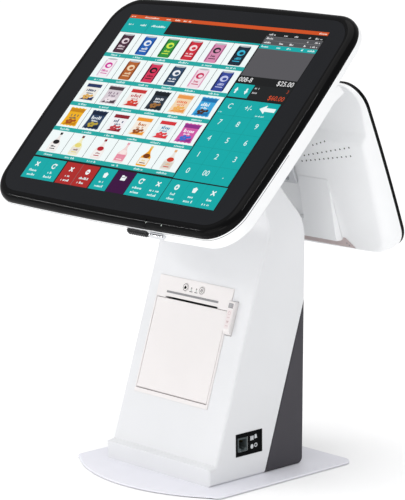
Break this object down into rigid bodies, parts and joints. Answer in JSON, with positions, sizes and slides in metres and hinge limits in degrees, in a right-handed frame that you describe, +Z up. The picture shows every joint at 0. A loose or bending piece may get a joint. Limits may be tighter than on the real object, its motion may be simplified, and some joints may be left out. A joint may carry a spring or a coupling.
{
  "type": "pos touchscreen terminal",
  "caption": "Point-of-sale terminal: a tilting touch display and a tilting customer display on a pedestal with a built-in receipt printer and a flat base.",
  "frame": {"origin": "on the resting plane under the middle of the pedestal", "axes": "+Z up, -Y towards the operator, +Y towards the customer"},
  "size_m": [0.38, 0.306, 0.4895],
  "materials": {
    "white_shell": "smooth white moulded plastic, semi-gloss",
    "dark_grey": "fine-textured dark grey moulded plastic",
    "base_steel": "powder-coated steel sheet, pale",
    "steel": "zinc-plated steel sheet",
    "shaft_steel": "ground steel",
    "chrome": "polished chrome plate",
    "screw": "plated screws",
    "rubber": "matt black rubber",
    "black_gloss": "piano-black moulded plastic",
    "black_plastic": "matt black moulded plastic",
    "glass": "touch glass with a dark printed border",
    "screen": "lit LCD panel",
    "board": "green circuit board",
    "aluminium": "extruded aluminium fins",
    "printer_white": "warm white moulded plastic",
    "grey_bar": "grey steel edge",
    "paper": "thermal paper",
    "card": "card core",
    "gear": "natural acetal",
    "lamp": "clear light pipe"
  },
  "bodies": {
    "base": {"base_mat": "rubber", "base_plate": "base_steel", "base_screws": "screw", "front_shell": "white_shell", "wedge_cover": "dark_grey", "rear_cover": "white_shell", "chassis": "steel", "neck_bracket": "steel", "tilt_shaft": "shaft_steel", "power_board": "board", "port_board": "board", "cash_drawer_jack": "black_plastic", "port_label": "black_plastic", "power_inlet": "black_plastic", "cover_screws": "screw", "printer_bezel": "printer_white", "printer_lamps": "lamp", "printer_board": "board", "tear_bar": "grey_bar", "paper_cradle": "black_plastic", "thermal_head": "aluminium", "feed_motor": "steel", "lid_hinge_pin": "shaft_steel", "lever_pin": "shaft_steel", "customer_arm": "white_shell", "customer_shaft": "shaft_steel"},
    "feed_button": {"feed_button": "printer_white"},
    "printer_power_button": {"printer_power_button": "printer_white"},
    "printer_lid": {"printer_lid": "printer_white"},
    "platen": {"platen_roller": "rubber", "platen_axle": "shaft_steel", "platen_gear": "gear"},
    "pinion": {"motor_pinion": "gear"},
    "paper_roll": {"paper_roll": "paper", "roll_core": "card"},
    "lid_lever": {"lid_lever": "printer_white"},
    "main_display": {"touch_glass": "glass", "display_bezel": "black_gloss", "display_lamps": "lamp", "display_cover": "white_shell", "lcd_panel": "screen", "lcd_frame": "steel", "computer_housing": "white_shell", "mainboard": "board", "heat_sink": "aluminium", "drive": "aluminium", "speakers": "black_plastic", "port_block": "black_plastic", "display_bracket": "steel", "bracket_screws": "screw", "friction_washers": "shaft_steel"},
    "display_power_button": {"display_power_button": "chrome"},
    "customer_display": {"customer_glass": "glass", "customer_bezel": "black_gloss", "customer_lcd": "screen", "customer_board": "board", "customer_shell": "white_shell", "cable_cover": "white_shell", "customer_bracket": "steel", "customer_screws": "screw"}
  },
  "joints": [
    {"name": "display_tilt", "type": "hinge", "parent": "base", "child": "main_display", "pos_m": [0, -0.00804, 0.33461], "axis": [1, 0, 0], "range_deg": [-15, 30]},
    {"name": "customer_tilt", "type": "hinge", "parent": "base", "child": "customer_display", "pos_m": [0, 0.08062, 0.31605], "axis": [1, 0, 0], "range_deg": [-20, 15]},
    {"name": "lid_open", "type": "hinge", "parent": "base", "child": "printer_lid", "pos_m": [0, -0.03829, 0.08242], "axis": [1, 0, 0], "range_deg": [0, 75]},
    {"name": "platen_spin", "type": "hinge", "parent": "printer_lid", "child": "platen", "pos_m": [0, 0.00001, 0.1618], "axis": [1, 0, 0], "continuous": true},
    {"name": "pinion_spin", "type": "hinge", "parent": "base", "child": "pinion", "pos_m": [0, 0.01532, 0.15673], "axis": [1, 0, 0], "continuous": true},
    {"name": "paper_spin", "type": "hinge", "parent": "base", "child": "paper_roll", "pos_m": [0, 0.01213, 0.10933], "axis": [1, 0, 0], "continuous": true},
    {"name": "lever_pull", "type": "hinge", "parent": "base", "child": "lid_lever", "pos_m": [0, -0.01247, 0.15909], "axis": [1, 0, 0], "range_deg": [0, 15], "stiffness_Nm_per_rad": 0.06},
    {"name": "feed_press", "type": "slide", "parent": "base", "child": "feed_button", "axis": [0, 0.9493, -0.3145], "range_m": [0, 0.001], "stiffness_N_per_m": 300},
    {"name": "power_press", "type": "slide", "parent": "base", "child": "printer_power_button", "axis": [0, 0.9493, -0.3145], "range_m": [0, 0.001], "stiffness_N_per_m": 300},
    {"name": "display_power_press", "type": "slide", "parent": "main_display", "child": "display_power_button", "axis": [0, 0.7034, 0.7108], "range_m": [0, 0.0012], "stiffness_N_per_m": 400}
  ],
  "couplings": [
    {"joint": "pinion_spin", "follows": "platen_spin", "ratio": -1.6667}
  ]
}
